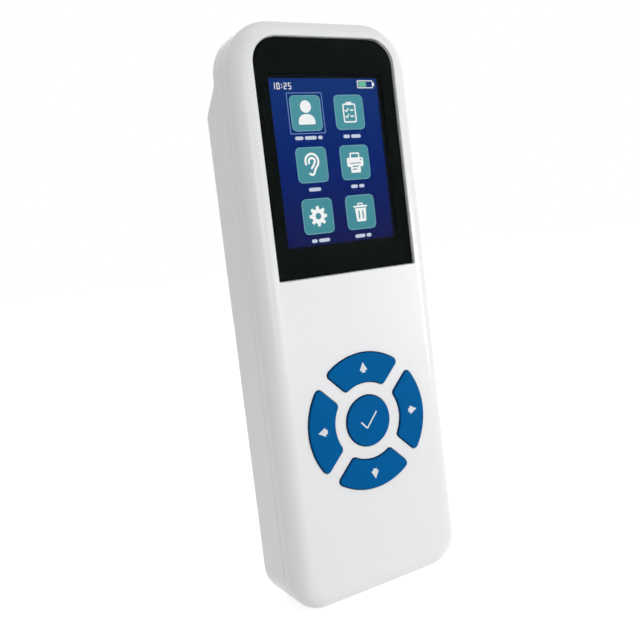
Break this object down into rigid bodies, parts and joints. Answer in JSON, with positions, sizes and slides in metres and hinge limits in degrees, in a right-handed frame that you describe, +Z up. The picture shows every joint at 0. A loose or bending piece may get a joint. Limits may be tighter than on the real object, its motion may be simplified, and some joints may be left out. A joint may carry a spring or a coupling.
{
  "type": "otoacoustic emission screener",
  "caption": "Tall white handheld hearing screener with a black window over a colour display, a round keypad of blue keys, a probe socket on its slim top end and a battery cover on its back.",
  "frame": {"origin": "centre of the outer box at its bottom, on the surface that the device stands on", "axes": "+Z up along the device to its top end, -Y out of the screen and keypad, +X to the right of someone who looks at the screen"},
  "size_m": [0.07, 0.0268, 0.2],
  "materials": {
    "white_abs": "satin white moulded ABS with a very fine spark texture",
    "window_acrylic": "gloss black printed acrylic",
    "black_foam": "black closed-cell foam tape",
    "display_glass": "dark blue lit colour display behind smooth glass",
    "backlight_diffuser": "milky diffusing acrylic",
    "polyimide_film": "amber polyimide film",
    "black_nylon": "matt black moulded nylon",
    "blue_key_plastic": "matt mid blue moulded key caps",
    "grey_silicone": "matt grey silicone rubber",
    "green_board": "green solder resist on glass-fibre board",
    "chip_epoxy": "matt black moulding compound",
    "nickelled_steel": "bright nickel plating",
    "gold_plating": "gold plated contact pins",
    "battery_wrap": "dark blue shrink wrap"
  },
  "bodies": {
    "casing": {"front_shell": "white_abs", "rear_shell": "white_abs", "window_lens": "window_acrylic", "lens_tape": "black_foam", "lcd_glass": "display_glass", "lcd_backlight": "backlight_diffuser", "lcd_tray": "nickelled_steel", "display_foam": "black_foam", "lcd_flex": "polyimide_film", "lcd_connector": "black_nylon", "keypad_mat": "grey_silicone", "main_board": "green_board", "board_screw_lower_left": "nickelled_steel", "board_screw_lower_right": "nickelled_steel", "board_screw_upper_left": "nickelled_steel", "board_screw_upper_right": "nickelled_steel", "processor_chip": "chip_epoxy", "audio_codec_chip": "chip_epoxy", "memory_chip": "chip_epoxy", "clock_crystal": "nickelled_steel", "power_inductor": "chip_epoxy", "charger_chip": "chip_epoxy", "radio_shield": "nickelled_steel", "buzzer": "black_nylon", "clock_cell_holder": "black_nylon", "clock_cell": "nickelled_steel", "capacitor": "nickelled_steel", "contact_block": "black_nylon", "battery_contact_1": "gold_plating", "battery_contact_2": "gold_plating", "battery_contact_3": "gold_plating", "battery_pack": "battery_wrap", "probe_socket": "nickelled_steel", "probe_socket_insert": "black_nylon", "probe_socket_keeper": "nickelled_steel", "probe_connector": "black_nylon", "probe_ribbon": "grey_silicone", "usb_socket": "nickelled_steel", "usb_contact_blade": "black_nylon", "case_screw_lower_left": "nickelled_steel", "case_screw_lower_right": "nickelled_steel", "case_screw_upper_left": "nickelled_steel", "case_screw_upper_right": "nickelled_steel"},
    "up": {"up_key": "blue_key_plastic", "up_dome": "grey_silicone"},
    "left": {"left_key": "blue_key_plastic", "left_dome": "grey_silicone"},
    "down": {"down_key": "blue_key_plastic", "down_dome": "grey_silicone"},
    "right": {"right_key": "blue_key_plastic", "right_dome": "grey_silicone"},
    "ok": {"ok_key": "blue_key_plastic", "ok_dome": "grey_silicone"},
    "cover": {"battery_cover": "white_abs", "cover_screw_lower": "nickelled_steel", "cover_screw_upper": "nickelled_steel"}
  },
  "joints": [
    {"name": "up_key_press", "type": "slide", "parent": "casing", "child": "up", "axis": [0, 1, 0], "range_m": [0, 0.0008], "stiffness_N_per_m": 800},
    {"name": "left_key_press", "type": "slide", "parent": "casing", "child": "left", "axis": [0, 1, 0], "range_m": [0, 0.0008], "stiffness_N_per_m": 800},
    {"name": "down_key_press", "type": "slide", "parent": "casing", "child": "down", "axis": [0, 1, 0], "range_m": [0, 0.0008], "stiffness_N_per_m": 800},
    {"name": "right_key_press", "type": "slide", "parent": "casing", "child": "right", "axis": [0, 1, 0], "range_m": [0, 0.0008], "stiffness_N_per_m": 800},
    {"name": "ok_key_press", "type": "slide", "parent": "casing", "child": "ok", "axis": [0, 1, 0], "range_m": [0, 0.0008], "stiffness_N_per_m": 800},
    {"name": "cover_lift_off", "type": "slide", "parent": "casing", "child": "cover", "axis": [0, 1, 0], "range_m": [0, 0.012]}
  ]
}
